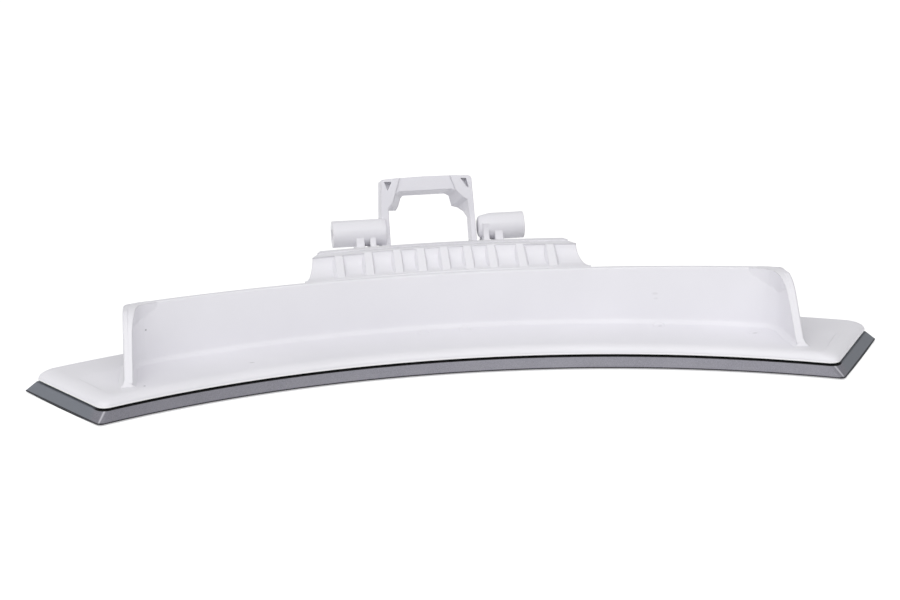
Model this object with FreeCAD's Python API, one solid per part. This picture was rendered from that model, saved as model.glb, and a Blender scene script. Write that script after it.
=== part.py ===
import FreeCAD, Part
import math
import os

# A dryer door handle: a white moulded body on a painted front fascia.
# Lengths are millimetres and angles are degrees. The handle lies on its fascia, as on a bench.
# It is an arc of a ring about the Z axis, and Y runs from the ring's axis out to the hinge.

# Fascia: a shallow painted tray with a crowned face and bevelled edges.
ring_front_radius = 264.4
fascia_width = 48.3
half_span_angle = 28.7
crown_height = 0.6
face_edge_height = 0.1
bevel_height = 3.25
bevel_inset = 2.7
fascia_floor_height = 2.4
flange_inset = 4.6
flange_thickness = 1.4
flange_height = 1.45
fascia_front_corner_radius = 1.6
fascia_back_corner_radius = 0.7
land_front_corner_radius = 3.2
land_back_corner_radius = 0.9

# Body deck: the white plate that closes the tray, with a rolled lip all round.
reveal_height = 0.75
lip_inset = 3.1
lip_height = 3.2
lip_edge_height = 0.45
lip_front_roll = 3.3
lip_back_roll = 0.9
lip_end_roll = 6.0
lip_roll_steps = 6
lip_front_corner_radius = 3.4
lip_back_corner_radius = 1.2
deck_thickness = 2.2
skirt_thickness = 1.4
seat_clearance = 0.15
deck_rib_count = 11
deck_rib_thickness = 1.6
dish_depth = 0.35
dish_front_margin = 4.6
dish_end_margin = 9.0

# Snaps: lugs on the tray's flange that seat in windows of the body's skirt.
snap_angles = (-22.0, -8.0, 8.0, 22.0)
snap_length = 8.0
snap_reach = 0.6
snap_height = 0.8
snap_rise = 0.5

# Grip wall and its two cheeks, which turn towards the fingers.
wall_face_setback = 30.2
wall_thickness = 2.2
wall_height = 22.1
wall_top_dip = 2.35
wall_edge_break = 0.5
cheek_inner_radius = 8.5
cheek_outer_radius = 2.5
cheek_foot_x = 115.3
cheek_foot_chord_y = 16.6
cheek_splay_angle = 4.5
cheek_lean_angle = 31.5
cheek_top_radius = 12.0
wall_root_radius = 2.0
wall_root_steps = 4

# Ribbed block behind the wall, which carries the hinge.
block_back_overhang = 2.2
block_height = 26.6
block_half_width = 47.2
block_front_end_angle = 19.0
block_top_end_angle = 27.9
front_rim_width = 2.2
rim_shelf_width = 1.6
rear_rim_width = 2.3
rim_step_height = 0.45
rim_step_inner_x = 27.5
rim_step_outer_x = 33.5
cove_depth = 1.9
cove_top_margin = 0.4
cove_foot_margin = 0.2
rib_half_count = 4
rib_inner_pitch = 8.45
rib_outer_pitch = 10.5
rib_width = 2.9
rib_fan_scale = 0.97
rib_draft_angle = 20.0
ledge_width = 1.2
ledge_height = 0.45
ledge_overrun = 2.6
core_wall = 2.0

# Hinge barrels and the arms that carry them.
hinge_setback = 31.9
hinge_height = 30.4
barrel_radius = 4.88
barrel_outer_x = 35.3
barrel_inner_x = 18.5
barrel_taper_length = 4.6
barrel_taper_drop = 0.7
barrel_nose_radius = 1.3
pin_bore_radius = 2.1
pin_bore_depth = 13.0
arm_positions = (20.9, 25.6)
arm_widths = (2.2, 3.0)
arm_drop = 14.0
arm_waist_height = 24.4
arm_reach = 5.0
arm_climb = 2.2
arm_hollow = 0.9
bridge_thickness = 2.2
bridge_height = 18.6

# Latch loop, a window frame that leans back between the barrels.
loop_lean_angle = 20.0
loop_top_offset = 5.4
loop_top_height = 48.65
loop_depth = 9.0
loop_left_top_x = 16.2
loop_left_foot_x = 17.5
loop_right_top_x = 17.2
loop_right_foot_x = 17.8
loop_leg_draft_height = 21.0
loop_left_leg_width = 3.4
loop_right_leg_width = 2.0
loop_left_corner_radius = 0.4
loop_right_corner_radius = 1.4
loop_inner_corner = 0.9
bar_crown = 0.6
bar_recess = 0.7
bar_front_height = 4.5
bar_rear_height = 5.45
gusset_top_x = 9.1
gusset_front_x = 12.4
gusset_front_drop = 8.6
gusset_rear_x = 8.3
gusset_rear_drop = 10.8
arch_drop = 14.5
arch_reach = 18.2
pocket_depth = 2.2

# Sizes that follow from the ones above.
ring_back_radius = ring_front_radius + fascia_width
land_height = crown_height + bevel_height
flange_top = land_height + flange_height
lip_bottom = land_height + reveal_height
deck_top = lip_bottom + lip_height
deck_underside = deck_top - deck_thickness
skirt_inset = flange_inset + flange_thickness + seat_clearance
wall_top = deck_top + wall_height
wall_face_radius = ring_front_radius + wall_face_setback
wall_back_radius = wall_face_radius + wall_thickness
ledge_top = wall_top - wall_top_dip + ledge_height
block_top = deck_top + block_height
shelf_height = block_top - rim_step_height
block_back_radius = ring_back_radius - lip_inset + block_back_overhang
block_crest_radius = block_back_radius - rear_rim_width - rim_shelf_width - front_rim_width
block_foot_radius = wall_back_radius + ledge_width
hinge_radius = block_back_radius + hinge_setback
loop_leg_bottom = bridge_height + 0.5 * bridge_thickness


def polar(radius, angle, height=0.0):
    """A point at a radius and an angle from the Y axis, positive towards +X."""
    turn = math.radians(angle)
    return FreeCAD.Vector(radius * math.sin(turn), radius * math.cos(turn), height)


def ring_corner(radius, inset, side, height):
    """Where a circle meets a radial end line that is set in by the given distance."""
    turn = math.radians(half_span_angle)
    along = math.sqrt(radius * radius - inset * inset)
    x = along * math.sin(turn) - inset * math.cos(turn)
    y = along * math.cos(turn) + inset * math.sin(turn)
    return FreeCAD.Vector(side * x, y, height)


def ring_face(inset, height, back_inset=None, end_inset=None):
    """The plan outline of the handle, set in all round unless its back or ends say otherwise."""
    behind = inset if back_inset is None else back_inset
    ends = inset if end_inset is None else end_inset
    front = ring_front_radius + inset
    back = ring_back_radius - behind
    front_left = ring_corner(front, ends, -1, height)
    front_right = ring_corner(front, ends, 1, height)
    back_left = ring_corner(back, ends, -1, height)
    back_right = ring_corner(back, ends, 1, height)
    edges = [
        Part.Arc(front_left, FreeCAD.Vector(0, front, height), front_right).toShape(),
        Part.LineSegment(front_right, back_right).toShape(),
        Part.Arc(back_right, FreeCAD.Vector(0, back, height), back_left).toShape(),
        Part.LineSegment(back_left, front_left).toShape(),
    ]
    return Part.Face(Part.Wire(edges))


def upright_edges(solid):
    """The straight vertical edges of a prism."""
    found = []
    for edge in solid.Edges:
        first, last = edge.Vertexes[0].Point, edge.Vertexes[-1].Point
        same_plan = abs(first.x - last.x) < 1e-6 and abs(first.y - last.y) < 1e-6
        if same_plan and abs(first.z - last.z) > 1e-6:
            found.append(edge)
    return found


def rounded(plate, front_radius, back_radius):
    """The plate with its front and back corners rounded in plan."""
    uprights = sorted(upright_edges(plate), key=lambda edge: edge.Vertexes[0].Point.y)
    if front_radius > 0:
        plate = plate.makeFillet(front_radius, uprights[:2])
    uprights = sorted(upright_edges(plate), key=lambda edge: edge.Vertexes[0].Point.y)
    if back_radius > 0:
        plate = plate.makeFillet(back_radius, uprights[-2:])
    return plate


def ring_plate(inset, low, high, front_radius=0.0, back_radius=0.0):
    """A plate of the handle's plan outline between two heights."""
    plate = ring_face(inset, low).extrude(FreeCAD.Vector(0, 0, high - low))
    return rounded(plate, front_radius, back_radius)


def section_face(points, angle=0.0):
    """A closed section through (radius, height) points, standing at an angle."""
    corners = [polar(radius, angle, height) for radius, height in points]
    return Part.Face(Part.makePolygon(corners + [corners[0]]))


def turned(face, half_angle):
    """A section that stands at the half angle, turned about the ring's axis to the other side."""
    return face.revolve(FreeCAD.Vector(0, 0, 0), FreeCAD.Vector(0, 0, 1), 2 * half_angle)


def ring_band(points, half_angle):
    return turned(section_face(points, half_angle), half_angle)


def extruded_y(points, y_low, y_high):
    """A prism along Y whose section is given by (x, height) points."""
    corners = [FreeCAD.Vector(x, y_low, height) for x, height in points]
    face = Part.Face(Part.makePolygon(corners + [corners[0]]))
    return face.extrude(FreeCAD.Vector(0, y_high - y_low, 0))


def mirrored(shape):
    return shape.mirror(FreeCAD.Vector(0, 0, 0), FreeCAD.Vector(1, 0, 0))


def fused(shapes):
    return shapes[0].multiFuse(shapes[1:]).removeSplitter()


def plan_wire(plate, height):
    """The outline of a plate's face at the given height."""
    for face in plate.Faces:
        box = face.BoundBox
        if abs(box.ZMin - height) < 1e-6 and abs(box.ZMax - height) < 1e-6:
            return face.OuterWire
    raise ValueError("no face at that height")


def fascia_crown():
    """The shallow bulge of the painted face, which the handle lies on, with a narrow upright edge."""
    half_width = 0.5 * fascia_width
    middle = ring_front_radius + half_width
    sag = crown_height - face_edge_height
    crown_radius = (half_width ** 2 + sag ** 2) / (2 * sag)
    wide = half_width + 3.0
    lift = crown_radius - math.sqrt(crown_radius ** 2 - wide ** 2)
    angle = half_span_angle + 1.0
    front = polar(middle - wide, angle, lift)
    back = polar(middle + wide, angle, lift)
    bulge = Part.Arc(front, polar(middle, angle, 0), back).toShape()
    top = Part.makePolygon([back, polar(middle + wide, angle, 5), polar(middle - wide, angle, 5), front])
    bulged = turned(Part.Face(Part.Wire([bulge] + top.Edges)), angle)
    plan = ring_plate(0, -1, crown_height, fascia_front_corner_radius, fascia_back_corner_radius)
    return plan.common(bulged)


def snap_lugs(inset, reach, length, height, clearance=0.0):
    """Small blocks on both long walls of the tray, at the snap angles."""
    low = deck_underside - snap_rise - height - clearance
    wide = length + 2 * clearance
    tall = height + 2 * clearance
    blocks = []
    for angle in snap_angles:
        for radius, outward in ((ring_front_radius + inset, 1), (ring_back_radius - inset, -1)):
            near, far = sorted((radius - outward * 0.4, radius + outward * reach))
            block = Part.makeBox(wide, far - near, tall, FreeCAD.Vector(-0.5 * wide, near, low))
            block.rotate(FreeCAD.Vector(0, 0, 0), FreeCAD.Vector(0, 0, 1), -angle)
            blocks.append(block)
    return blocks


def make_fascia():
    bottom = ring_plate(0, crown_height, land_height, fascia_front_corner_radius, fascia_back_corner_radius)
    top = ring_plate(bevel_inset, crown_height, land_height, land_front_corner_radius, land_back_corner_radius)
    rim = Part.makeLoft([plan_wire(bottom, crown_height), plan_wire(top, land_height)], True, True)
    flange = ring_plate(flange_inset, crown_height, flange_top, land_front_corner_radius,
                        land_back_corner_radius)
    tray = fused([rim, flange, fascia_crown()])
    pocket = ring_plate(flange_inset + flange_thickness, fascia_floor_height, flange_top + 1)
    tray = tray.cut(pocket)
    return fused([tray] + snap_lugs(flange_inset + flange_thickness, snap_reach, snap_length, snap_height))


def grip_dish():
    """A shallow hollow in the deck that leaves a soft ridge along the front lip."""
    front = ring_front_radius + lip_inset + dish_front_margin
    back = wall_face_radius
    end_angle = half_span_angle - math.degrees(dish_end_margin / front)
    low = polar(0.5 * (front + back), end_angle, deck_top - dish_depth)
    hollow = Part.Arc(polar(front, end_angle, deck_top), low, polar(back, end_angle, deck_top)).toShape()
    chord = Part.LineSegment(polar(back, end_angle, deck_top), polar(front, end_angle, deck_top)).toShape()
    return turned(Part.Face(Part.Wire([hollow, chord])), end_angle)


def lip_wire(share, height):
    """The plate's outline at a height on the roll, where the roll has come in by this share."""
    face = ring_face(lip_inset + share * lip_front_roll, height, lip_inset + share * lip_back_roll,
                     lip_inset + share * lip_end_roll)
    plate = face.extrude(FreeCAD.Vector(0, 0, 1))
    front_radius = lip_front_corner_radius + 0.5 * share * lip_front_roll
    back_radius = lip_back_corner_radius + 0.5 * share * lip_back_roll
    return plan_wire(rounded(plate, front_radius, back_radius), height)


def rolled_plate():
    """The plate with a quarter-round lip: tight at the back, soft in front, broad at the ends."""
    wires = [lip_wire(0, lip_bottom), lip_wire(0, lip_bottom + lip_edge_height)]
    rise = lip_height - lip_edge_height
    for number in range(1, lip_roll_steps + 1):
        turn = math.radians(90.0 * number / lip_roll_steps)
        height = lip_bottom + lip_edge_height + rise * math.sin(turn)
        wires.append(lip_wire(1 - math.cos(turn), height))
    return Part.makeLoft(wires, True, True)


def deck_shell():
    """The plate, hollow below, with a skirt that stands on the tray's floor."""
    plate = rolled_plate()
    rebate = ring_plate(flange_inset - seat_clearance, lip_bottom - 1, deck_underside)
    plate = plate.cut(rebate).cut(grip_dish())
    skirt = ring_plate(skirt_inset, fascia_floor_height, deck_underside)
    skirt = skirt.cut(ring_plate(skirt_inset + skirt_thickness, fascia_floor_height - 1, deck_underside))
    return [plate, skirt]


def snap_windows():
    """Openings in the skirt, one for each lug, with clearance all round."""
    return snap_lugs(skirt_inset, skirt_thickness + 1, snap_length, snap_height, seat_clearance)


def flange_groove():
    """The room that the tray's flange needs between the body's lip and its skirt."""
    outer = ring_plate(flange_inset - seat_clearance, lip_bottom - 1, flange_top + seat_clearance,
                       land_front_corner_radius, land_back_corner_radius)
    return outer.cut(ring_plate(skirt_inset, lip_bottom - 2, flange_top + 1))


def deck_ribs():
    """Radial ribs under the deck, standing on the tray's floor."""
    front = ring_front_radius + skirt_inset + 0.5 * skirt_thickness
    back = ring_back_radius - skirt_inset - 0.5 * skirt_thickness
    ribs = []
    for number in range(deck_rib_count):
        angle = half_span_angle * (2 * (number + 1) / (deck_rib_count + 1) - 1)
        corner = FreeCAD.Vector(-0.5 * deck_rib_thickness, front, fascia_floor_height)
        rib = Part.makeBox(deck_rib_thickness, back - front, deck_underside - fascia_floor_height, corner)
        rib.rotate(FreeCAD.Vector(0, 0, 0), FreeCAD.Vector(0, 0, 1), -angle)
        ribs.append(rib)
    return ribs


def cheek_foot():
    """Where the cheek's inner face ends, at its foot."""
    chord_y = ring_corner(ring_front_radius, 0, 1, 0).y
    return FreeCAD.Vector(cheek_foot_x, chord_y + cheek_foot_chord_y, deck_underside)


def wall_path(offset, corner_radius):
    """Half of a line along the wall, from the middle, round the corner, to the cheek's front end."""
    splay = math.radians(cheek_splay_angle)
    outward = FreeCAD.Vector(math.cos(splay), math.sin(splay), 0)
    forward = FreeCAD.Vector(math.sin(splay), -math.cos(splay), 0)
    foot = cheek_foot()
    radius = wall_face_radius + offset
    gap = foot.dot(outward) + offset - corner_radius
    reach = math.sqrt((radius - corner_radius) ** 2 - gap ** 2)
    centre = outward * gap - forward * reach
    centre.z = deck_underside
    join_angle = math.degrees(math.atan2(centre.x, centre.y))
    bend_angle = 0.5 * (join_angle + 90.0 - cheek_splay_angle)
    middle = polar(radius, 0, deck_underside)
    halfway = polar(radius, 0.5 * join_angle, deck_underside)
    join = polar(radius, join_angle, deck_underside)
    bend = centre + polar(corner_radius, bend_angle)
    turn = centre + outward * corner_radius
    front = foot + outward * offset + forward * 2.0
    return middle, halfway, join, bend, turn, front


def cheek_trim():
    """The corner taken off each cheek: its front edge leans back and rounds into the top."""
    front_y = cheek_foot().y
    lean = math.radians(cheek_lean_angle)
    rise = wall_top - deck_top
    sweep = math.pi / 2 - lean
    run = cheek_top_radius * math.tan(0.5 * sweep)
    edge_top_y = front_y + rise * math.tan(lean)
    start = FreeCAD.Vector(0, edge_top_y - run * math.sin(lean), wall_top - run * math.cos(lean))
    end = FreeCAD.Vector(0, edge_top_y + run, wall_top)
    centre = FreeCAD.Vector(0, end.y, wall_top - cheek_top_radius)
    half = lean + 0.5 * sweep
    middle = centre + FreeCAD.Vector(0, -math.cos(half), math.sin(half)) * cheek_top_radius
    foot = FreeCAD.Vector(0, front_y, deck_top)
    below = FreeCAD.Vector(0, front_y, deck_underside - 1)
    edges = [
        Part.LineSegment(below, foot).toShape(),
        Part.LineSegment(foot, start).toShape(),
        Part.Arc(start, middle, end).toShape(),
        Part.makePolygon([end, end + FreeCAD.Vector(0, 0, 5), FreeCAD.Vector(0, 0, wall_top + 5),
                          FreeCAD.Vector(0, 0, deck_underside - 1), below]),
    ]
    pieces = []
    for edge in edges:
        pieces.extend(edge.Edges)
    face = Part.Face(Part.Wire(pieces))
    face.translate(FreeCAD.Vector(-2 * cheek_foot_x, 0, 0))
    return face.extrude(FreeCAD.Vector(4 * cheek_foot_x, 0, 0))


def wall_outline(spread, height):
    """The plan outline of half the wall at a height, widened on both sides by the spread."""
    inner = wall_path(-spread, cheek_inner_radius - spread)
    outer = wall_path(wall_thickness + spread, cheek_outer_radius + spread)
    inner = [FreeCAD.Vector(point.x, point.y, height) for point in inner]
    outer = [FreeCAD.Vector(point.x, point.y, height) for point in outer]
    edges = [
        Part.Arc(inner[0], inner[1], inner[2]).toShape(),
        Part.Arc(inner[2], inner[3], inner[4]).toShape(),
        Part.LineSegment(inner[4], inner[5]).toShape(),
        Part.LineSegment(inner[5], outer[5]).toShape(),
        Part.LineSegment(outer[5], outer[4]).toShape(),
        Part.Arc(outer[4], outer[3], outer[2]).toShape(),
        Part.Arc(outer[2], outer[1], outer[0]).toShape(),
        Part.LineSegment(outer[0], inner[0]).toShape(),
    ]
    return Part.Wire(edges)


def wall_root():
    """The quarter-round in the corner between wall and deck, on both sides of the wall."""
    wires = [wall_outline(wall_root_radius, deck_top - dish_depth)]
    for number in range(1, wall_root_steps + 1):
        turn = math.radians(90.0 * number / wall_root_steps)
        spread = max(wall_root_radius * (1 - math.sin(turn)), 0.02)
        wires.append(wall_outline(spread, deck_top + wall_root_radius * (1 - math.cos(turn))))
    return Part.makeLoft(wires, True, True)


def wall_dip():
    """What the wall's top edge leaves out: it sags a little from the plate's ends to the middle."""
    end_x = ring_corner(ring_front_radius, 0, 1, 0).x
    left = FreeCAD.Vector(-end_x, 0, wall_top)
    lowest = FreeCAD.Vector(0, 0, wall_top - wall_top_dip)
    right = FreeCAD.Vector(end_x, 0, wall_top)
    above = FreeCAD.Vector(0, 0, wall_top_dip)
    rest = Part.makePolygon([right, right + above, left + above, left])
    face = Part.Face(Part.Wire([Part.Arc(left, lowest, right).toShape()] + rest.Edges))
    return face.extrude(FreeCAD.Vector(0, wall_back_radius + 1, 0))


def grip_wall():
    """The tall curved wall that the fingers pull on, with a cheek at each end."""
    half = Part.Face(wall_outline(0, deck_underside)).extrude(FreeCAD.Vector(0, 0, wall_top - deck_underside))
    whole = fused([half, mirrored(half)]).cut(cheek_trim()).cut(wall_dip())
    rim_edges = [edge for edge in whole.Edges if edge.BoundBox.ZMin > deck_top - 0.01]
    whole = whole.makeChamfer(wall_edge_break, rim_edges)
    root = wall_root()
    return fused([whole, root.cut(cheek_trim()), mirrored(root).cut(cheek_trim())])


def block_section():
    """The block's section: a sloping front, a rim, a shelf behind it and a rear rim."""
    middle = wall_face_radius + 0.5 * wall_thickness
    shelf_front = block_crest_radius + front_rim_width
    shelf_back = block_back_radius - rear_rim_width
    return [
        (middle, deck_underside),
        (middle, ledge_top - ledge_width),
        (wall_back_radius, ledge_top),
        (block_foot_radius, ledge_top),
        (block_crest_radius, block_top),
        (shelf_front, block_top),
        (shelf_front, shelf_height),
        (shelf_back, shelf_height),
        (shelf_back, block_top),
        (block_back_radius, block_top),
        (block_back_radius, lip_bottom),
        (wall_back_radius, lip_bottom),
    ]


def rib_positions():
    """Rib centres along X, closer in the middle of the fan than at its ends."""
    places = [0.0]
    for number in range(1, rib_half_count + 1):
        step = rib_inner_pitch if number <= rib_half_count / 2 else rib_outer_pitch
        places.append(places[-1] + step)
    return [-place for place in reversed(places[1:])] + places


def slope_step(top):
    """The direction of the sloping front up to a height, as steps outwards and upwards."""
    run = block_crest_radius - block_foot_radius
    rise = top - ledge_top
    length = math.hypot(run, rise)
    return run / length, rise / length


def cove_band(top):
    """The coves' round section turned along the block: upright under the rim, level at the ledge."""
    outwards, upwards = slope_step(top)
    low = (block_foot_radius + cove_foot_margin * outwards, ledge_top + cove_foot_margin * upwards)
    high = (block_crest_radius, top)
    deep = (0.5 * (low[0] + high[0]) + cove_depth * upwards, 0.5 * (low[1] + high[1]) - cove_depth * outwards)
    above = (high[0] - cove_depth * upwards, high[1] + cove_depth * outwards)
    before = (low[0] - cove_depth * upwards, low[1] + cove_depth * outwards)
    low, deep, high, above, before = [
        polar(radius, half_span_angle, height) for radius, height in (low, deep, high, above, before)
    ]
    cap = Part.makePolygon([high, above, before, low])
    return turned(Part.Face(Part.Wire([Part.Arc(low, deep, high).toShape()] + cap.Edges)), half_span_angle)


def cove_room(left, right, top):
    """The room between two ribs. It follows their fan, and their draft makes it narrower inwards."""
    outwards, upwards = slope_step(top)
    length = (top - ledge_top) / upwards
    middle = 0.5 * (left + right)
    turn = math.asin(middle / block_foot_radius)
    wires = []
    for depth in (-1.1 * cove_depth, 1.1 * cove_depth):
        corners = []
        for along, side in ((0, -1), (0, 1), (1, 1), (1, -1)):
            scale = 1 - along * (1 - rib_fan_scale)
            half = 0.5 * scale * (right - left - rib_width) - depth * math.tan(math.radians(rib_draft_angle))
            radius = block_foot_radius + along * length * outwards + depth * upwards
            height = ledge_top + along * length * upwards - depth * outwards
            corners.append(FreeCAD.Vector(middle * (scale - 1) + side * half, radius, height))
        wires.append(Part.makePolygon(corners + [corners[0]]))
    room = Part.makeLoft(wires, True, True)
    room.rotate(FreeCAD.Vector(0, 0, 0), FreeCAD.Vector(0, 0, 1), -math.degrees(turn))
    return room


def cove_cutters():
    """A cove between each two ribs, and one that runs out at each end of the block."""
    places = rib_positions()
    outer = places[-1] + 2 * (block_half_width - places[-1])
    pairs = list(zip(places[:-1], places[1:])) + [(places[-1], outer), (-outer, places[0])]
    high_band = cove_band(block_top - cove_top_margin)
    low_band = cove_band(shelf_height - cove_top_margin)
    cutters = []
    for left, right in pairs:
        if max(abs(left), abs(right)) > rim_step_outer_x:
            cutters.append(low_band.common(cove_room(left, right, shelf_height - cove_top_margin)))
        else:
            cutters.append(high_band.common(cove_room(left, right, block_top - cove_top_margin)))
    return cutters


def core_pockets():
    """Pockets from below that leave the block one wall thick behind its coves, with webs at the ribs."""
    outwards, upwards = slope_step(shelf_height - cove_top_margin)
    setback = cove_depth + core_wall
    front = block_foot_radius + setback * upwards
    back = block_back_radius - core_wall
    low = ledge_top - setback * outwards
    crown_radius = block_crest_radius + setback * upwards
    crown_height = shelf_height - cove_top_margin - setback * outwards
    section = [(front, fascia_floor_height), (back, fascia_floor_height), (back, crown_height),
               (crown_radius, crown_height), (front, low)]
    band = ring_band(section, half_span_angle)
    places = rib_positions()
    pockets = []
    for left, right in zip(places[:-1], places[1:]):
        width = right - left - core_wall
        corner = FreeCAD.Vector(left + 0.5 * core_wall, 0, fascia_floor_height)
        pockets.append(band.common(Part.makeBox(width, block_back_radius, block_height, corner)))
    return pockets


def block_end_trim():
    """Everything beyond the block's end on the +X side. The end kinks at the crest."""
    crest_y = math.sqrt(block_crest_radius ** 2 - block_half_width ** 2)
    reach = block_back_radius - wall_face_radius
    near_x = block_half_width + reach * math.tan(math.radians(block_front_end_angle))
    far_x = block_half_width - reach * math.tan(math.radians(block_top_end_angle))
    outside = 2 * block_half_width
    corners = [FreeCAD.Vector(near_x, crest_y - reach, 0), FreeCAD.Vector(block_half_width, crest_y, 0),
               FreeCAD.Vector(far_x, crest_y + reach, 0), FreeCAD.Vector(outside, crest_y + reach, 0),
               FreeCAD.Vector(outside, crest_y - reach, 0)]
    face = Part.Face(Part.makePolygon(corners + [corners[0]]))
    return face.extrude(FreeCAD.Vector(0, 0, block_top + 1))


def rim_step_trim():
    """Takes the front rim down to the shelf outside its middle part."""
    top = block_top + 1
    far = 2 * block_half_width
    ramp = [(rim_step_inner_x, block_top), (rim_step_outer_x, shelf_height), (far, shelf_height), (far, top),
            (rim_step_inner_x, top)]
    prism = extruded_y(ramp, 0, block_back_radius)
    shelf_front = block_crest_radius + front_rim_width + 0.5 * rim_shelf_width
    rim = ring_band([(wall_face_radius, shelf_height - 1), (shelf_front, shelf_height - 1),
                     (shelf_front, top + 1), (wall_face_radius, top + 1)], half_span_angle)
    piece = prism.common(rim)
    return [piece, mirrored(piece)]


def ribbed_block():
    """The block behind the wall: nine fanned ribs with coves between them, hollow from below."""
    body = ring_band(block_section(), 0.6 * half_span_angle)
    body = body.cut(block_end_trim()).cut(mirrored(block_end_trim()))
    for cutter in cove_cutters() + core_pockets() + rim_step_trim():
        body = body.cut(cutter)
    ledge_angle = math.degrees((block_half_width + ledge_width + ledge_overrun) / wall_back_radius)
    middle = wall_face_radius + 0.5 * wall_thickness
    ledge = ring_band([(middle, deck_top), (block_foot_radius, deck_top), (block_foot_radius, ledge_top),
                       (wall_back_radius, ledge_top), (middle, ledge_top - ledge_width)], ledge_angle)
    return body.fuse(ledge)


def hinge_barrel(inner_x, taper_drop, nose_radius):
    """A barrel on the +X side, tapered and rounded at its inner end when these are not zero."""
    nose = barrel_radius - taper_drop
    axis_start = FreeCAD.Vector(inner_x, 0, 0)
    axis_end = FreeCAD.Vector(barrel_outer_x, 0, 0)
    outer = FreeCAD.Vector(barrel_outer_x, 0, barrel_radius)
    profile = [axis_start]
    if nose_radius > 0:
        for degrees in (0, 30, 60, 90):
            turn = math.radians(degrees)
            x = inner_x + nose_radius * (1 - math.cos(turn))
            profile.append(FreeCAD.Vector(x, 0, nose - nose_radius * (1 - math.sin(turn))))
        profile.append(FreeCAD.Vector(inner_x + barrel_taper_length, 0, barrel_radius))
    else:
        profile.append(FreeCAD.Vector(inner_x, 0, barrel_radius))
    profile += [outer, axis_end, axis_start]
    face = Part.Face(Part.makePolygon(profile))
    solid = face.revolve(FreeCAD.Vector(0, 0, 0), FreeCAD.Vector(1, 0, 0), 360)
    solid.translate(FreeCAD.Vector(0, hinge_radius, hinge_height))
    return solid


def hinge_barrels():
    """The right barrel ends free beside the loop; the left one runs into the loop's leg."""
    right = hinge_barrel(barrel_inner_x, barrel_taper_drop, barrel_nose_radius)
    left = hinge_barrel(loop_left_foot_x - 0.5 * loop_left_leg_width, 0.0, 0.0)
    return [right, mirrored(left)]


def pin_bore():
    mouth = FreeCAD.Vector(barrel_outer_x + 1, hinge_radius, hinge_height)
    return Part.makeCylinder(pin_bore_radius, pin_bore_depth + 1, mouth, FreeCAD.Vector(-1, 0, 0))


def arm_plate(x_low, x_high, carries_barrel):
    """An upright plate from the block's rear wall to the hinge. Its front edge climbs the barrel."""
    root_y = block_back_radius - 0.5 * core_wall
    root_y = math.sqrt(root_y ** 2 - max(abs(x_low), abs(x_high)) ** 2)
    bottom = hinge_height - arm_drop
    tail_y = hinge_radius + 0.8 * barrel_radius
    front_y = hinge_radius - barrel_radius
    crest = hinge_height + arm_climb if carries_barrel else arm_waist_height
    start = FreeCAD.Vector(x_low, front_y - arm_reach, arm_waist_height)
    end = FreeCAD.Vector(x_low, front_y + 0.5, crest)
    edges = []
    if carries_barrel:
        hollow = FreeCAD.Vector(x_low, front_y - arm_hollow, hinge_height - 0.5 * barrel_radius)
        edges.append(Part.Arc(start, hollow, end).toShape())
    else:
        edges.append(Part.LineSegment(start, end).toShape())
    outline = [end, FreeCAD.Vector(x_low, tail_y, crest), FreeCAD.Vector(x_low, tail_y, bottom + 5),
               FreeCAD.Vector(x_low, hinge_radius - 2, bottom), FreeCAD.Vector(x_low, root_y, bottom - 3),
               FreeCAD.Vector(x_low, root_y, arm_waist_height + 3), start]
    edges.extend(Part.makePolygon(outline).Edges)
    return Part.Face(Part.Wire(edges)).extrude(FreeCAD.Vector(x_high - x_low, 0, 0))


def hinge_arms():
    """Two arms behind each barrel and one under each leg of the loop."""
    arms = []
    for place, width in zip(arm_positions, arm_widths):
        plate = arm_plate(place - 0.5 * width, place + 0.5 * width, True)
        arms.extend([plate, mirrored(plate)])
    arms.append(arm_plate(-loop_left_foot_x, -loop_left_foot_x + loop_left_leg_width, False))
    arms.append(arm_plate(loop_right_foot_x - loop_right_leg_width, loop_right_foot_x, False))
    return arms


def bridge():
    """A level web that ties the arms together, below the line of sight from the front."""
    half = arm_positions[-1] + 0.5 * arm_widths[-1]
    near = math.sqrt((block_back_radius - 0.5 * core_wall) ** 2 - half ** 2)
    far = hinge_radius + 0.5 * barrel_radius
    corner = FreeCAD.Vector(-half, near, bridge_height - 0.5 * bridge_thickness)
    return Part.makeBox(2 * half, far - near, bridge_thickness, corner)


def loop_wire(points, depth):
    corners = [FreeCAD.Vector(x, depth, height) for x, height in points]
    return Part.makePolygon(corners + [corners[0]])


def loop_outline(length):
    """The loop's outline in its own plane: two drafted legs and a slightly crowned bar."""
    draft = loop_leg_draft_height
    top_left = FreeCAD.Vector(-loop_left_top_x, 0, 0)
    top_right = FreeCAD.Vector(loop_right_top_x, 0, 0)
    crown = FreeCAD.Vector(0, 0, bar_crown)
    sides = [(loop_right_top_x, 0), (loop_right_foot_x, -draft), (loop_right_foot_x, -length),
             (-loop_left_foot_x, -length), (-loop_left_foot_x, -draft), (-loop_left_top_x, 0)]
    legs = Part.makePolygon([FreeCAD.Vector(x, 0, height) for x, height in sides])
    bar = Part.Arc(top_left, crown, top_right).toShape()
    return Part.Face(Part.Wire([bar] + legs.Edges))


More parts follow.
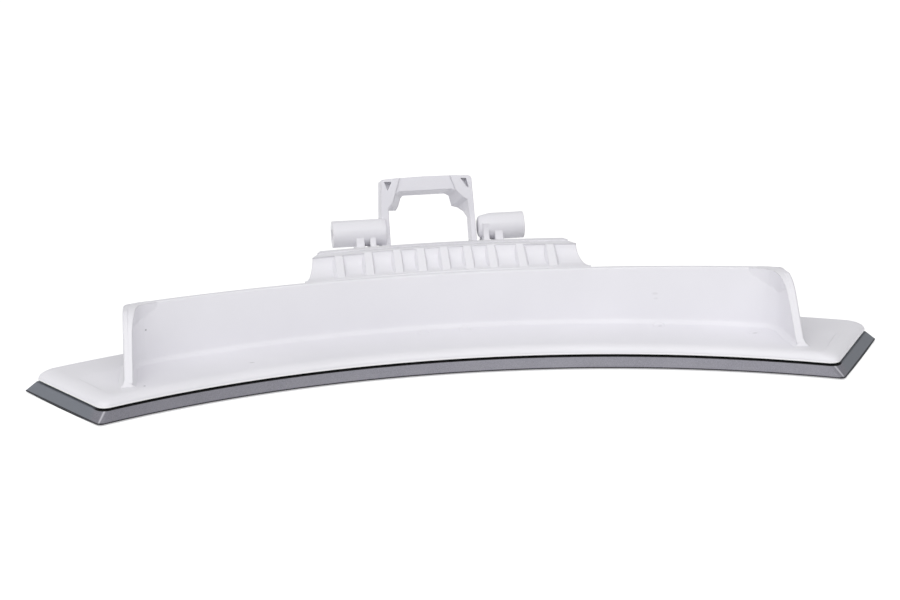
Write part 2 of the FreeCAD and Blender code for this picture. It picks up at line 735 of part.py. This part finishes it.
def loop_opening(below):
    """The window through the loop. It narrows from the front to the rear round both gussets."""
    left = loop_left_foot_x - loop_left_leg_width
    right = loop_right_foot_x - loop_right_leg_width
    slope = (gusset_front_x - gusset_top_x) / gusset_front_drop
    bar_x = gusset_top_x + slope * bar_front_height
    break_off = loop_inner_corner
    front = [(-left, below), (-left, -gusset_front_drop - 1.9),
             (-gusset_front_x - 0.6, -gusset_front_drop - 0.7), (-gusset_front_x, -gusset_front_drop),
             (-bar_x - slope * break_off, -bar_front_height - break_off),
             (-bar_x + break_off, -bar_front_height), (bar_x - break_off, -bar_front_height),
             (bar_x + 0.6 * break_off, -bar_front_height - break_off),
             (gusset_front_x + 1.4, -gusset_front_drop + 0.8), (right - 0.5, -gusset_front_drop - 0.2),
             (right - 0.4, -gusset_rear_drop - 1.0), (right, -arch_reach), (right, below)]
    rear = [(-left, below), (-left, -gusset_rear_drop),
            (-gusset_rear_x - 2.0, -gusset_rear_drop), (-gusset_rear_x - 1.0, -gusset_rear_drop + 1.5),
            (-gusset_rear_x, -bar_rear_height - break_off),
            (-gusset_rear_x + break_off, -bar_rear_height), (gusset_rear_x - 0.2, -bar_rear_height),
            (gusset_rear_x + 1.3, -bar_rear_height - break_off),
            (gusset_rear_x + 2.1, -gusset_rear_drop + 0.6), (gusset_rear_x + 4.2, -gusset_rear_drop),
            (right - 1.2, -gusset_rear_drop - 1.5), (right + 0.1, -arch_drop), (right + 0.3, below)]
    return Part.makeLoft([loop_wire(front, 0), loop_wire(rear, loop_depth)], True, True)


def loop_recesses():
    """The bar's front is set back between the gussets, with a pocket in each top corner."""
    bar = [(-gusset_top_x, 1.0), (gusset_top_x, 1.0), (gusset_front_x, -gusset_front_drop),
           (-gusset_front_x, -gusset_front_drop)]
    left = [(-15.1, -0.9), (-12.5, -1.0), (-14.0, -4.0)]
    right = [(13.2, -0.8), (15.2, -0.9), (16.0, -4.3), (15.3, -4.0)]
    recesses = []
    for corners, depth in ((bar, bar_recess), (left, pocket_depth), (right, pocket_depth)):
        face = Part.Face(loop_wire(corners, -1))
        recesses.append(face.extrude(FreeCAD.Vector(0, depth + 1, 0)))
    return recesses


def loop_top_edge(frame, side):
    """The edge at the loop's top corner on the given side."""
    found = []
    for edge in frame.Edges:
        box = edge.BoundBox
        runs_back = box.XLength < 1e-4 and box.ZLength < 1e-4
        if runs_back and abs(box.ZMax) < 1e-4 and side * box.XMin > 0:
            found.append(edge)
    return found


def loop_frame():
    """The latch loop: top at height 0 and front at Y 0, then leant back and put in place."""
    lean = math.radians(loop_lean_angle)
    length = (loop_top_height - loop_leg_bottom) / math.cos(lean)
    frame = loop_outline(length).extrude(FreeCAD.Vector(0, loop_depth, 0))
    frame = frame.makeFillet(loop_left_corner_radius, loop_top_edge(frame, -1))
    frame = frame.makeFillet(loop_right_corner_radius, loop_top_edge(frame, 1))
    frame = frame.cut(loop_opening(-length - 1))
    for recess in loop_recesses():
        frame = frame.cut(recess)
    frame.rotate(FreeCAD.Vector(0, 0, 0), FreeCAD.Vector(1, 0, 0), -loop_lean_angle)
    frame.translate(FreeCAD.Vector(0, hinge_radius + loop_top_offset, loop_top_height))
    return frame


def make_body():
    pieces = deck_shell() + deck_ribs() + [grip_wall(), ribbed_block()]
    pieces += hinge_arms() + hinge_barrels() + [bridge(), loop_frame()]
    body = fused(pieces)
    for cutter in core_pockets() + snap_windows() + [flange_groove(), pin_bore(), mirrored(pin_bore())]:
        body = body.cut(cutter)
    return body


def standing(shapes):
    """Puts the origin under the middle of the handle's bounding box."""
    box = Part.makeCompound(list(shapes.values())).optimalBoundingBox(False, False)
    middle_y = 0.5 * (box.YMin + box.YMax)
    for shape in shapes.values():
        shape.translate(FreeCAD.Vector(0, -middle_y, 0))
    return shapes


os.makedirs("parts", exist_ok=True)
nodes = standing({"handle_body": make_body(), "front_fascia": make_fascia()})
for name, shape in nodes.items():
    shape.exportStep("parts/" + name + ".step")
    print(name, "solids", len(shape.Solids), "volume", round(shape.Volume / 1000, 2), "cm3", shape.isValid())
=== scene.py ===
# %% [markdown]
# This lesson dresses the door handle of a tumble dryer.
# The real part is a white moulded grip, 300 mm wide, that is clipped onto a curved, silver painted trim strip.
# Its shape was built in a CAD program, so the shape is loaded here and is not drawn again.
# What is left for Blender is a rim on each of the grip's two cheeks, how the two plastics look, the light,
# and the place of the camera.

# %% Load the two moulded pieces
import math

import bmesh
import bpy
from mathutils import Matrix, Vector


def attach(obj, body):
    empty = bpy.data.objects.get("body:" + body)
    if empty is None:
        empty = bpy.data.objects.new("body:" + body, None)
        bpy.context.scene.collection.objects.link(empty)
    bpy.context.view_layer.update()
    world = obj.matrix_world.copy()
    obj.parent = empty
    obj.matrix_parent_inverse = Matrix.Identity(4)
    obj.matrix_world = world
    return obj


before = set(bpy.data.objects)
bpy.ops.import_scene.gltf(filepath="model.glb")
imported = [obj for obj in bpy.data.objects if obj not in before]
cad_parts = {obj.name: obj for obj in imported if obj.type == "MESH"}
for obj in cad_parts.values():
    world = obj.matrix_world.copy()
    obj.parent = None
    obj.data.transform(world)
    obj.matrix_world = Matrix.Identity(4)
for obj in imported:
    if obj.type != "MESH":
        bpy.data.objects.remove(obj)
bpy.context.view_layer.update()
print("pieces:", sorted(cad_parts))

# %% [markdown]
# Real sizes are easier to think about in millimetres, while Blender works in metres.
# One function turns the first into the second, and a second function turns a colour from a paint program,
# written as sRGB hex, into the linear numbers that Blender's shaders add up and multiply.
# The numbers inside it are those of the sRGB standard.

# %% Helpers for sizes and colours
def mm(size):
    return size / 1000


def linear(hex_colour):
    channels = [int(hex_colour[i:i + 2], 16) / 255 for i in (1, 3, 5)]
    light = [c / 12.92 if c <= 0.04045 else ((c + 0.055) / 1.055) ** 2.4 for c in channels]
    return (*light, 1.0)


moulded_white = "#ECEBF0"
print("white plastic in linear light:", [round(c, 3) for c in linear(moulded_white)])

# %% [markdown]
# A node-based material is a small network. The same three things are done for every node in it:
# the node is made, its settings are set, and its inputs are given a value or a link.
# One short function does all three, so that each material below reads as a list of what it is made of.
# An input goes by its name, with _ for a space, or by its place, where i0 is the first and i6 the seventh.
# The owner of a network is a material, or the world.

# %% A function that adds a node
def add_node(owner, kind, settings=None, **inputs):
    node = owner.node_tree.nodes.new("ShaderNode" + kind)
    for name, value in (settings or {}).items():
        setattr(node, name, value)
    for name, value in inputs.items():
        key = int(name[1:]) if name[0] == "i" and name[1:].isdigit() else name.replace("_", " ")
        if isinstance(value, bpy.types.NodeSocket):
            owner.node_tree.links.new(value, node.inputs[key])
        else:
            node.inputs[key].default_value = value
    return node


def new_material(name):
    material = bpy.data.materials.new(name)
    material.use_nodes = True
    material.node_tree.nodes.clear()
    return material


print("functions:", add_node.__name__, "and", new_material.__name__)

# %% [markdown]
# The grip is ABS, a tough and slightly milky plastic, injection moulded in a tool with a fine matt texture.
# The eye gets a soft, even white with a broad sheen instead of sharp reflections, and a trace of lilac,
# because such whites are tinted a little blue to look fresh.
# Moulded white is never quite one value: the plastic flows in from the gates and leaves clouds
# a few centimetres wide that are a shade lighter or darker, and handling leaves faint smudges in the sheen.
# Noise on Object coordinates gives both at their real size, because the coordinates are metres on the part.
# Most of a noise lies near its middle, so its part from 0.3 to 0.7 is spread over the whole change.
# The lip's lowest half millimetre is given a painted highlight: a brighter white for the light that its rounded
# lower edge catches, which draws a thin white line over the dark gap.
# The latch loop stands free and gets less light bounced onto it than the wall and the deck, so painted shade makes
# it a shade greyer.

# %% Clouds and smudges in the white, with a painted highlight and painted shade
noise_from, noise_to = 0.3, 0.7
cloud_width = mm(35)
smudge_width = mm(9)
sheen_smooth, sheen_dull = 0.38, 0.50
highlight_top = mm(5.15)
shaded_loop_half_width = mm(17.4)
loop_shade_from = mm(33)
loop_shade_full = mm(37)


def clouded_and_shaded_white(m, place):
    clouds = add_node(m, "TexNoise", Vector=place, Scale=1 / cloud_width, Detail=2.0, Roughness=0.5)
    tone = add_node(m, "ValToRGB", Fac=clouds.outputs["Fac"])
    low, high = tone.color_ramp.elements
    low.position, low.color = noise_from, linear("#E8E7EC")
    high.position, high.color = noise_to, linear(moulded_white)
    axes = add_node(m, "SeparateXYZ", Vector=place).outputs
    # Painted highlight: below this height the lip is mixed towards a brighter white.
    painted_highlight = add_node(m, "Math", {"operation": "LESS_THAN"}, i0=axes["Z"], i1=highlight_top)
    highlighted = add_node(m, "Mix", {"data_type": "RGBA"}, Factor=painted_highlight.outputs["Value"],
                     i6=tone.outputs["Color"], i7=linear("#FBFBFD"))
    # Painted shade: the latch loop, by its width and height, is mixed towards a greyer white.
    side = add_node(m, "Math", {"operation": "ABSOLUTE"}, i0=axes["X"])
    within = add_node(m, "Math", {"operation": "LESS_THAN"}, i0=side.outputs["Value"], i1=shaded_loop_half_width)
    rise = add_node(m, "MapRange", Value=axes["Z"], From_Min=loop_shade_from, From_Max=loop_shade_full)
    loop_shade = add_node(m, "Math", {"operation": "MULTIPLY"}, i0=rise.outputs["Result"], i1=within.outputs["Value"])
    white = add_node(m, "Mix", {"data_type": "RGBA"}, Factor=loop_shade.outputs["Value"],
                     i6=highlighted.outputs[2], i7=linear("#E1E0E6"))
    return white.outputs[2]


def smudged_sheen(m, place):
    smudges = add_node(m, "TexNoise", Vector=place, Scale=1 / smudge_width, Detail=4.0, Roughness=0.6)
    sheen = add_node(m, "MapRange", Value=smudges.outputs["Fac"], From_Min=noise_from, From_Max=noise_to,
                     To_Min=sheen_smooth, To_Max=sheen_dull)
    return sheen.outputs["Result"]


print("clouds", 1000 * cloud_width, "mm wide, smudges", 1000 * smudge_width, "mm")

# %% [markdown]
# Small marks are masks. The shader takes the distance from the point it shades to a named place on the part,
# in millimetres, or to a line between two places, and a Map Range node fades it out over a short way,
# with the soft start and end of a smooth step.
# Such a mark stays where it is from every side and costs no geometry.
# A stretch above 1 draws it out along the handle.

# %% Distances that become masks
soft = {"interpolation_type": "SMOOTHSTEP"}


def distance_to(m, place, spot_mm, stretch=1.0):
    away = add_node(m, "VectorMath", {"operation": "SUBTRACT"}, i0=place, i1=tuple(mm(c) for c in spot_mm))
    away = add_node(m, "VectorMath", {"operation": "MULTIPLY"}, i0=away.outputs["Vector"],
                    i1=(1 / stretch, 1.0, 1.0))
    return add_node(m, "VectorMath", {"operation": "LENGTH"}, i0=away.outputs["Vector"]).outputs["Value"]


def distance_to_line(m, place, start_mm, end_mm):
    along = (Vector(end_mm) - Vector(start_mm)).normalized()
    away = add_node(m, "VectorMath", {"operation": "SUBTRACT"}, i0=place, i1=tuple(mm(c) for c in start_mm))
    across = add_node(m, "VectorMath", {"operation": "CROSS_PRODUCT"}, i0=away.outputs["Vector"],
                      i1=tuple(along))
    return add_node(m, "VectorMath", {"operation": "LENGTH"}, i0=across.outputs["Vector"]).outputs["Value"]


print("functions:", distance_to.__name__, "and", distance_to_line.__name__)

# %% [markdown]
# A real part isn't spotless. Two dark specks of burnt plastic sit in the left half of this one,
# a few faint scuffs lie on the deck and the wall, and the ejector pins that pushed it out of the tool
# left faint rings. On the real part a ring is only a few hundredths of a millimetre deep,
# so a little relief in the shader is enough for it.

# %% Specks, scuffs and ejector rings
# Each speck or scuff has its place, its radius in mm, its strength and its stretch.
# It is full inside 0.4 of its radius and gone at 1.4 of it.
marks = {
    "wall_speck": ((-108.1, -21.1, 19.7), 0.33, 0.55, 1.0),
    "deck_speck": ((-110.6, -46.1, 7.8), 0.42, 0.7, 1.0),
    "wall_scuff": ((72.4, -9.6, 18.6), 0.45, 0.10, 3.0),
    "wall_scuff_low": ((72.6, -9.8, 16.8), 0.4, 0.08, 2.5),
    "deck_scuff": ((-72.6, -26.8, 7.5), 0.45, 0.30, 2.2),
    "deck_scuff_right": ((73.5, -13.3, 7.6), 0.4, 0.28, 2.0),
    "cheek_scuff": ((104.4, -27.6, 7.5), 0.45, 0.34, 2.2)}
mark_core, mark_fade = 0.4, 1.4
ejector_rings = {
    "ring_left": (-9.6, -4.4, 7.55),
    "ring_middle": (5.4, -3.6, 7.55),
    "ring_right": (73.5, -12.4, 7.55),
    "ring_cheek": (104.4, -26.6, 7.55)}
ring_radius = mm(2.0)
ring_width = mm(0.5)


def marked(m, place, colour):
    for spot_mm, radius_mm, strength, stretch in marks.values():
        mask = add_node(m, "MapRange", soft, Value=distance_to(m, place, spot_mm, stretch),
                        From_Min=mm(mark_core * radius_mm), From_Max=mm(mark_fade * radius_mm),
                        To_Min=strength, To_Max=0.0)
        colour = add_node(m, "Mix", {"data_type": "RGBA"}, Factor=mask.outputs["Result"],
                          i6=colour, i7=linear("#4E4A4D")).outputs[2]
    return colour


def ring_relief(m, place):
    total = 0.0
    for spot_mm in ejector_rings.values():
        off = add_node(m, "Math", {"operation": "SUBTRACT"}, i0=distance_to(m, place, spot_mm), i1=ring_radius)
        off = add_node(m, "Math", {"operation": "ABSOLUTE"}, i0=off.outputs["Value"])
        ring = add_node(m, "MapRange", soft, Value=off.outputs["Value"], From_Min=0.0, From_Max=ring_width,
                        To_Min=1.0, To_Max=0.0)
        total = add_node(m, "Math", {"operation": "ADD"}, i0=total, i1=ring.outputs["Result"]).outputs["Value"]
    return total


print(len(marks), "specks and scuffs,", len(ejector_rings), "ejector rings")

# %% [markdown]
# CAD edges are perfectly sharp, and moulded ones never are: the tool is polished and the plastic shrinks away
# from its corners. Such a radius of about half a millimetre could be modelled, but on loose triangles
# the Bevel shader node does it better. It looks round the edge with a few short rays and bends the normal there,
# so that every edge catches a thin line of light. The rings and the grain are put on top of it with Bump nodes.
# The tool's real texture is too fine to show at this size, so the grain is drawn 0.45 mm wide.
# The IOR of 1.53 is that of ABS, and sets how much the plain plastic reflects.

# %% White moulded ABS for the grip
edge_radius = mm(0.5)
edge_rays = 6
ring_depth = mm(0.2)
grain_width = mm(0.45)
grain_depth = mm(0.03)


def white_moulded_abs():
    m = new_material("white_moulded_abs")
    place = add_node(m, "TexCoord").outputs["Object"]
    soft_edges = add_node(m, "Bevel", {"samples": edge_rays}, Radius=edge_radius)
    rings = add_node(m, "Bump", Height=ring_relief(m, place), Normal=soft_edges.outputs["Normal"],
                     Strength=0.6, Distance=ring_depth)
    grain = add_node(m, "TexNoise", Vector=place, Scale=1 / grain_width, Detail=2.0)
    relief = add_node(m, "Bump", Height=grain.outputs["Fac"], Normal=rings.outputs["Normal"],
                      Strength=0.12, Distance=grain_depth)
    shader = add_node(m, "BsdfPrincipled", Base_Color=marked(m, place, clouded_and_shaded_white(m, place)),
                      Roughness=smudged_sheen(m, place), Normal=relief.outputs["Normal"], IOR=1.53)
    add_node(m, "OutputMaterial", Surface=shader.outputs["BSDF"])
    return m


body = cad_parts["handle_body"]
body.material_slots[0].material = white_moulded_abs()
print("grip:", body.material_slots[0].material.name)

# %% [markdown]
# Each cheek of the grip is a little thicker along its front edge than the wall, and the thickening sweeps round
# the inside corner at the top and fades out along the wall. It belongs to the white moulding and only stands proud
# of its inner face by a millimetre or two. A bevel can't add material, so it is swept: a three-cornered section
# is set at twelve stations, from the cheek's foot up its front edge and round onto the wall's top.
# A station is a place on the inner corner of that edge in mm, the way out of the edge, the way across it towards
# the inside, and two sizes: how far the section stands inwards, and how deep behind the edge it has sloped back.
# The section reaches across the cheek's whole edge and lies a hair above it, so that no seam shows on the front.

# %% Twelve stations along the left cheek
rim_sink = mm(0.3)
rim_lift = mm(0.03)
rim_cover = mm(2.12)
up = Vector((0.0, 0.0, 1.0))
cheek_front = Vector((0.0, -0.853, 0.522))
cheek_inwards = Vector((0.997, -0.078, 0.0))
rim_stations = [
    (Vector((-115.28, -46.0, 8.8)), cheek_front, cheek_inwards, 0.80, 2.4),
    (Vector((-115.14, -44.4, 11.5)), cheek_front, cheek_inwards, 0.90, 2.6),
    (Vector((-114.78, -39.8, 18.8)), cheek_front, cheek_inwards, 0.95, 2.8),
    (Vector((-114.52, -36.7, 23.9)), cheek_front, cheek_inwards, 1.05, 3.6),
    (Vector((-114.39, -34.9, 26.15)), Vector((0.0, -0.707, 0.707)), cheek_inwards, 1.25, 5.0),
    (Vector((-114.20, -32.4, 28.05)), Vector((0.0, -0.5, 0.866)), cheek_inwards, 1.60, 7.0),
    (Vector((-113.95, -29.5, 29.2)), Vector((0.0, -0.26, 0.966)), Vector((0.99, -0.15, 0.0)), 2.0, 8.5),
    (Vector((-113.30, -26.1, 29.48)), up, Vector((0.92, -0.38, 0.0)), 2.2, 9.0),
    (Vector((-111.90, -23.4, 29.40)), up, Vector((0.74, -0.67, 0.0)), 1.9, 8.5),
    (Vector((-109.80, -21.8, 29.30)), up, Vector((0.5, -0.86, 0.0)), 1.3, 7.0),
    (Vector((-107.00, -20.6, 29.15)), up, Vector((0.4, -0.92, 0.0)), 0.7, 5.5),
    (Vector((-104.00, -19.5, 28.95)), up, Vector((0.36, -0.93, 0.0)), 0.12, 4.0)]


def rim_section(edge, outwards, across, width, depth):
    edge, width, depth = mm(edge), mm(width), mm(depth)
    flush = edge + rim_lift * outwards
    return [flush - rim_cover * across, flush + width * across, edge - depth * outwards - rim_sink * across]


print(len(rim_stations), "stations, widest", max(station[3] for station in rim_stations), "mm")

# %% [markdown]
# The sweep itself is one face and its extrusions. The first section is a face at the foot.
# It is extruded, the three corners of the new face go to their places at the next station, and so on.
# The extrusion is given the face with its edges and corners, or the old face would stay behind inside.
# The edges that run along the sweep are marked sharp and its sides are shaded smooth,
# so that it reads as one curve. The right rim is the left one mirrored. A mirror turns a mesh inside out,
# so the normals are worked out anew.

# %% The thick inside rims of the two cheeks
def cheek_rim(name, side):
    rim = bmesh.new()
    section = rim.faces.new([rim.verts.new(corner) for corner in rim_section(*rim_stations[0])])
    for station in rim_stations[1:]:
        grow = [section, *section.edges, *section.verts]
        extruded = bmesh.ops.extrude_face_region(rim, geom=grow)["geom"]
        section = next(new for new in extruded if isinstance(new, bmesh.types.BMFace))
        for corner, place in zip(section.verts, rim_section(*station)):
            corner.co = place
            for edge in corner.link_edges:
                edge.smooth = edge in section.edges
    for face in rim.faces:
        face.smooth = len(face.verts) == 4
    if side == "right":
        bmesh.ops.scale(rim, vec=(-1.0, 1.0, 1.0), verts=rim.verts)
    bmesh.ops.recalc_face_normals(rim, faces=rim.faces)
    mesh = bpy.data.meshes.new(name)
    rim.to_mesh(mesh)
    rim.free()
    piece = bpy.data.objects.new(name, mesh)
    bpy.context.scene.collection.objects.link(piece)
    piece.data.materials.append(body.material_slots[0].material)
    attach(piece, "root")
    return piece


cheek_rims = [cheek_rim("cheek_rim_left", "left"), cheek_rim("cheek_rim_right", "right")]
print("cheek rims:", [len(piece.data.polygons) for piece in cheek_rims], "faces each")

# %% [markdown]
# The trim strip is moulded in black ABS and sprayed silver from the front.
# Its upper flange goes under the grip's lip, where no paint reaches, and shows as a thin black line.
# At the two ends the strip stands further out, and there the line is faded to grey.
# Along the sharp lower edge, a dark line of painted shade is mixed in, for the shadow where the strip meets the
# floor.
# Heights and one slanting plane across each end tell these places apart.
# The surface's own normal keeps this painted shade off the face below, and lifts it a little on the bevels,
# whose edge lies higher because the face is crowned.

# %% Where the strip is bare, and its painted shade along the lower edge
paint_top = mm(3.80)
line_at_ends = 0.2
edge_shade_from = mm(0.42)
edge_shade_top = mm(0.68)
edge_shade_share = 0.9
face_below = -0.4
bevel_lift = mm(0.5)
end_slope = Vector((0.886, 0.464, 0.0))
end_start = mm(86.5)
end_full = mm(89.5)


def mirrored_place(m, place):
    folded = add_node(m, "VectorMath", {"operation": "ABSOLUTE"}, i0=place).outputs["Vector"]
    side = add_node(m, "SeparateXYZ", Vector=folded).outputs["X"]
    here = add_node(m, "SeparateXYZ", Vector=place).outputs
    return add_node(m, "CombineXYZ", X=side, Y=here["Y"], Z=here["Z"]).outputs["Vector"]


def end_share(m, mirrored):
    out = add_node(m, "VectorMath", {"operation": "DOT_PRODUCT"}, i0=mirrored, i1=tuple(end_slope))
    return add_node(m, "MapRange", soft, Value=out.outputs["Value"],
                    From_Min=end_start, From_Max=end_full).outputs["Result"]


def bare_and_shade_share(m, place, ends):
    height = add_node(m, "SeparateXYZ", Vector=place).outputs["Z"]
    flange = add_node(m, "Math", {"operation": "GREATER_THAN"}, i0=height, i1=paint_top)
    reach = add_node(m, "MapRange", Value=ends, To_Min=1.0, To_Max=line_at_ends)
    line = add_node(m, "Math", {"operation": "MULTIPLY"}, i0=flange.outputs["Value"], i1=reach.outputs["Result"])
    # Painted shade: a dark line along the strip's lower edge, kept off the face below.
    facing = add_node(m, "SeparateXYZ", Vector=add_node(m, "TexCoord").outputs["Normal"]).outputs["Z"]
    beside = add_node(m, "Math", {"operation": "GREATER_THAN"}, i0=facing, i1=face_below)
    tilted = add_node(m, "Math", {"operation": "MULTIPLY_ADD"}, i0=facing, i1=-bevel_lift, i2=height)
    shaded = add_node(m, "MapRange", soft, Value=tilted.outputs["Value"], From_Min=edge_shade_from,
                    From_Max=edge_shade_top, To_Min=edge_shade_share, To_Max=0.0)
    edge = add_node(m, "Math", {"operation": "MULTIPLY"}, i0=shaded.outputs["Result"], i1=beside.outputs["Value"])
    bare_and_shade = add_node(m, "Math", {"operation": "MAXIMUM"}, i0=line.outputs["Value"], i1=edge.outputs["Value"])
    return bare_and_shade.outputs["Value"]


print("black above", 1000 * paint_top, "mm, thin paint below", 1000 * edge_shade_top, "mm")

# %% [markdown]
# The paint is a fine aluminium flake in a grey lacquer, sprayed on in faint patches a centimetre or two wide.
# Real flakes are too fine to show at this size, so they are drawn 0.3 mm wide.
# At the two short ends, a painted reflection of the cooler, darker tent behind makes the paint darker and a little
# bluer.
# Where two bevels meet at a front corner, the rounded edge catches a light line down the corner, which is painted
# in as a highlight.
# It is the distance to a line, mirrored for the other end.

# %% The colours of the sprayed paint, with a painted reflection and a painted highlight
flake_width = mm(0.3)
patch_width = mm(14)
patch_from, patch_to, patch_share = 0.35, 0.65, 0.35
end_reflection_share = 0.8
corner_highlight = ((124.9, -58.6, 3.7), (127.3, -62.3, 0.6))
corner_highlight_core = mm(0.1)
corner_highlight_width = mm(0.55)
corner_highlight_share = 0.7


def sprayed_and_lit_colour(m, place, mirrored, ends):
    flake = add_node(m, "TexNoise", Vector=place, Scale=1 / flake_width, Detail=1.0)
    tone = add_node(m, "ValToRGB", Fac=flake.outputs["Fac"])
    low, high = tone.color_ramp.elements
    low.position, low.color = noise_from, linear("#78777F")
    high.position, high.color = noise_to, linear("#8D8C95")
    patches = add_node(m, "TexNoise", Vector=place, Scale=1 / patch_width, Detail=2.0)
    patchy = add_node(m, "MapRange", Value=patches.outputs["Fac"], From_Min=patch_from, From_Max=patch_to,
                      To_Min=0.0, To_Max=patch_share)
    silver = add_node(m, "Mix", {"data_type": "RGBA"}, Factor=patchy.outputs["Result"],
                      i6=tone.outputs["Color"], i7=linear("#8E8D95"))
    # Painted reflection: the ends are mixed towards a darker, bluer grey.
    end_reflection = add_node(m, "Math", {"operation": "MULTIPLY"}, i0=ends, i1=end_reflection_share)
    reflected = add_node(m, "Mix", {"data_type": "RGBA"}, Factor=end_reflection.outputs["Value"],
                      i6=silver.outputs[2], i7=linear("#7B8088"))
    # Painted highlight: a light line down each front corner.
    corner = add_node(m, "MapRange", soft, Value=distance_to_line(m, mirrored, *corner_highlight),
                      From_Min=corner_highlight_core, From_Max=corner_highlight_width,
                      To_Min=corner_highlight_share, To_Max=0.0)
    corner_highlighted = add_node(m, "Mix", {"data_type": "RGBA"}, Factor=corner.outputs["Result"],
                     i6=reflected.outputs[2], i7=linear("#D2D1D8"))
    return corner_highlighted.outputs[2]


print("flakes", 1000 * flake_width, "mm wide, patches", 1000 * patch_width, "mm")

# %% [markdown]
# Silver paint is half metal, half matt, so it mirrors only a blur of the sky.
# Where it is missing, and in the painted shade along the lower edge, the metal goes as well, and the black there
# is left fully matt.
# The edges are softened by the same short rays as on the grip.

# %% Silver sprayed paint on the trim strip
paint_metal = 0.4
paint_roughness = 0.46


def silver_sprayed_paint():
    m = new_material("silver_sprayed_paint")
    place = add_node(m, "TexCoord").outputs["Object"]
    mirrored = mirrored_place(m, place)
    ends = end_share(m, mirrored)
    bare_and_shade = bare_and_shade_share(m, place, ends)
    colour = add_node(m, "Mix", {"data_type": "RGBA"}, Factor=bare_and_shade, i6=sprayed_and_lit_colour(m, place, mirrored, ends),
                      i7=linear("#020203"))
    metal = add_node(m, "MapRange", Value=bare_and_shade, To_Min=paint_metal, To_Max=0.0)
    rough = add_node(m, "MapRange", Value=bare_and_shade, To_Min=paint_roughness, To_Max=1.0)
    soft_edges = add_node(m, "Bevel", {"samples": edge_rays}, Radius=edge_radius)
    shader = add_node(m, "BsdfPrincipled", Base_Color=colour.outputs[2], Metallic=metal.outputs["Result"],
                      Roughness=rough.outputs["Result"], Normal=soft_edges.outputs["Normal"])
    add_node(m, "OutputMaterial", Surface=shader.outputs["BSDF"])
    return m


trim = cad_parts["front_fascia"]
trim.material_slots[0].material = silver_sprayed_paint()
print("trim:", trim.material_slots[0].material.name)

# %% [markdown]
# A parts catalogue shows its parts on plain white. More light would burn out the white plastic,
# so the floor is lit like everything else and gives off a little light of its own, which only the camera,
# mirrors and glass see. The object's shadow stays on it.

# %% A white floor that keeps the shadow
floor_width = 8.0
paper_glow = 0.4


def white_paper():
    m = new_material("white_paper")
    ray = add_node(m, "LightPath").outputs
    seen = add_node(m, "Math", {"operation": "MAXIMUM"}, i0=ray["Is Camera Ray"], i1=ray["Is Glossy Ray"])
    seen = add_node(m, "Math", {"operation": "MAXIMUM"}, i0=seen.outputs["Value"], i1=ray["Is Transmission Ray"])
    glow = add_node(m, "Math", {"operation": "MULTIPLY"}, i0=seen.outputs["Value"], i1=paper_glow)
    paper = add_node(m, "BsdfDiffuse", Color=linear("#F4F4F4"))
    light = add_node(m, "Emission", Color=linear("#FFFFFF"), Strength=glow.outputs["Value"])
    both = add_node(m, "AddShader", i0=paper.outputs["BSDF"], i1=light.outputs["Emission"])
    add_node(m, "OutputMaterial", Surface=both.outputs["Shader"])
    return m


sheet = bmesh.new()
bmesh.ops.create_grid(sheet, x_segments=1, y_segments=1, size=floor_width / 2)
floor_mesh = bpy.data.meshes.new("floor")
sheet.to_mesh(floor_mesh)
sheet.free()
floor = bpy.data.objects.new("floor", floor_mesh)
bpy.context.scene.collection.objects.link(floor)
floor.data.materials.append(white_paper())
print("floor is", floor_width, "m square")

# %% [markdown]
# The light is that of a photo tent: white from all sides, with two very wide lamps in front,
# the left one a little stronger. The wider a lamp, the softer the shadows inside the grip and between its ribs,
# and the more even its reflection in the paint. The tent is darker behind on the right,
# which gives the strip's right end its deeper grey.

# %% Lamps and sky
def softbox(name, place, aim, width, power):
    lamp = bpy.data.lights.new(name, "AREA")
    lamp.shape = "DISK"
    lamp.size = width
    lamp.energy = power
    box = bpy.data.objects.new(name, lamp)
    box.location = place
    box.rotation_euler = (Vector(aim) - Vector(place)).to_track_quat("-Z", "Y").to_euler()
    bpy.context.scene.collection.objects.link(box)
    return box


def tent_sky(bright, dark, towards):
    sky = bpy.data.worlds.new("tent")
    sky.use_nodes = True
    around = add_node(sky, "TexCoord").outputs["Generated"]
    across = add_node(sky, "VectorMath", {"operation": "DOT_PRODUCT"}, i0=around, i1=towards)
    strength = add_node(sky, "MapRange", Value=across.outputs["Value"], From_Min=-1.0, From_Max=1.0,
                        To_Min=bright, To_Max=dark)
    background = sky.node_tree.nodes["Background"].inputs
    background["Color"].default_value = linear("#FFFFFF")
    sky.node_tree.links.new(strength.outputs["Result"], background["Strength"])
    return sky


middle = (0.0, 0.0, 0.02)
lamps = [softbox("lamp_left", (-0.9, -1.5, 1.9), middle, width=2.2, power=15.5),
         softbox("lamp_right", (0.55, -1.7, 1.8), middle, width=2.0, power=12.0)]
bpy.context.scene.world = tent_sky(bright=0.80, dark=0.38, towards=(0.85, 0.53, 0.0))
print("lamps:", [lamp.name for lamp in lamps])

# %% [markdown]
# The photograph was taken from a little left of the middle and from above, with a long lens.
# The camera's place and turn were worked out from the shape of the arc, the ends and the ribs in it.

# %% The camera
camera_place = Vector((-0.16188, -1.07101, 0.34311))
turn_right = math.radians(-8.6215)
look_down = math.radians(16.7212)
lean = math.radians(-0.8249)

lens = bpy.data.cameras.new("camera")
lens.sensor_width = 36.0
lens.lens = 128.0
camera = bpy.data.objects.new("camera", lens)
camera.matrix_world = (Matrix.Translation(camera_place) @ Matrix.Rotation(turn_right, 4, "Z")
                       @ Matrix.Rotation(math.pi / 2 - look_down, 4, "X") @ Matrix.Rotation(lean, 4, "Z"))
bpy.context.scene.collection.objects.link(camera)
bpy.context.scene.camera = camera
bpy.context.scene.view_settings.view_transform = "Standard"
print("camera to handle:", round((camera_place - Vector(middle)).length, 3), "m")
